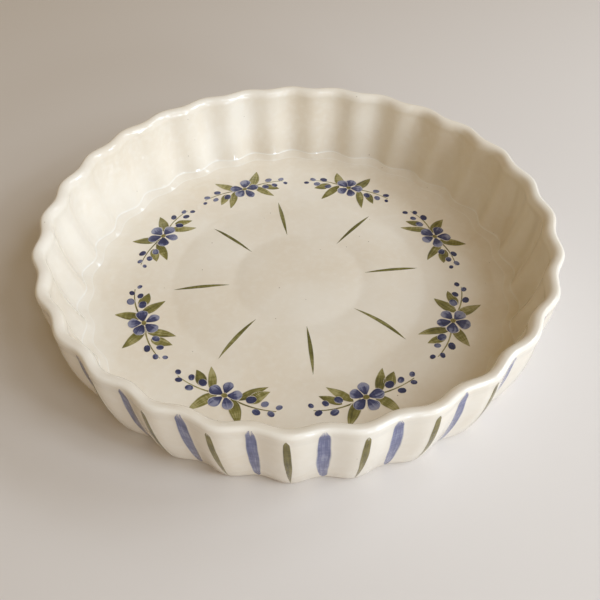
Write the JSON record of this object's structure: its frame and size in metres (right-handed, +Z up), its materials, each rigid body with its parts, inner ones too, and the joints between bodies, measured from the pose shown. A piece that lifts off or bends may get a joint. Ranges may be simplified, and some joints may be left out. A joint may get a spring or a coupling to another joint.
{
  "type": "tart dish",
  "caption": "Round fluted ceramic tart dish with a flaring wall, a rounded lip, a flat foot and painted stripes in the valleys and on the crests of its flutes.",
  "frame": {"origin": "centre of the foot, on the surface that the dish stands on", "axes": "+Z up along the dish's axis, -Y towards the viewer of the picture through a flute crest, +X to the right"},
  "size_m": [0.28, 0.28, 0.052],
  "materials": {
    "cream_glaze": "gloss cream glaze",
    "blue_paint": "brushed periwinkle blue under a gloss glaze",
    "olive_paint": "brushed olive green under a gloss glaze"
  },
  "bodies": {
    "root": {"dish_body": "cream_glaze", "olive_stripe_01": "olive_paint", "blue_stripe_01": "blue_paint", "olive_stripe_02": "olive_paint", "blue_stripe_02": "blue_paint", "olive_stripe_03": "olive_paint", "blue_stripe_03": "blue_paint", "olive_stripe_04": "olive_paint", "blue_stripe_04": "blue_paint", "olive_stripe_05": "olive_paint", "blue_stripe_05": "blue_paint", "olive_stripe_06": "olive_paint", "blue_stripe_06": "blue_paint", "olive_stripe_07": "olive_paint", "blue_stripe_07": "blue_paint", "olive_stripe_08": "olive_paint", "blue_stripe_08": "blue_paint", "olive_stripe_09": "olive_paint", "blue_stripe_09": "blue_paint", "olive_stripe_10": "olive_paint", "blue_stripe_10": "blue_paint", "olive_stripe_11": "olive_paint", "blue_stripe_11": "blue_paint", "olive_stripe_12": "olive_paint", "blue_stripe_12": "blue_paint", "olive_stripe_13": "olive_paint", "blue_stripe_13": "blue_paint", "olive_stripe_14": "olive_paint", "blue_stripe_14": "blue_paint", "olive_stripe_15": "olive_paint", "blue_stripe_15": "blue_paint", "olive_stripe_16": "olive_paint", "blue_stripe_16": "blue_paint", "olive_stripe_17": "olive_paint", "blue_stripe_17": "blue_paint", "olive_stripe_18": "olive_paint", "blue_stripe_18": "blue_paint", "olive_stripe_19": "olive_paint", "blue_stripe_19": "blue_paint", "olive_stripe_20": "olive_paint", "blue_stripe_20": "blue_paint", "olive_stripe_21": "olive_paint", "blue_stripe_21": "blue_paint", "olive_stripe_22": "olive_paint", "blue_stripe_22": "blue_paint", "olive_stripe_23": "olive_paint", "blue_stripe_23": "blue_paint", "olive_stripe_24": "olive_paint", "blue_stripe_24": "blue_paint", "olive_stripe_25": "olive_paint", "blue_stripe_25": "blue_paint", "olive_stripe_26": "olive_paint", "blue_stripe_26": "blue_paint", "olive_stripe_27": "olive_paint", "blue_stripe_27": "blue_paint", "olive_stripe_28": "olive_paint", "blue_stripe_28": "blue_paint"}
  },
  "joints": []
}
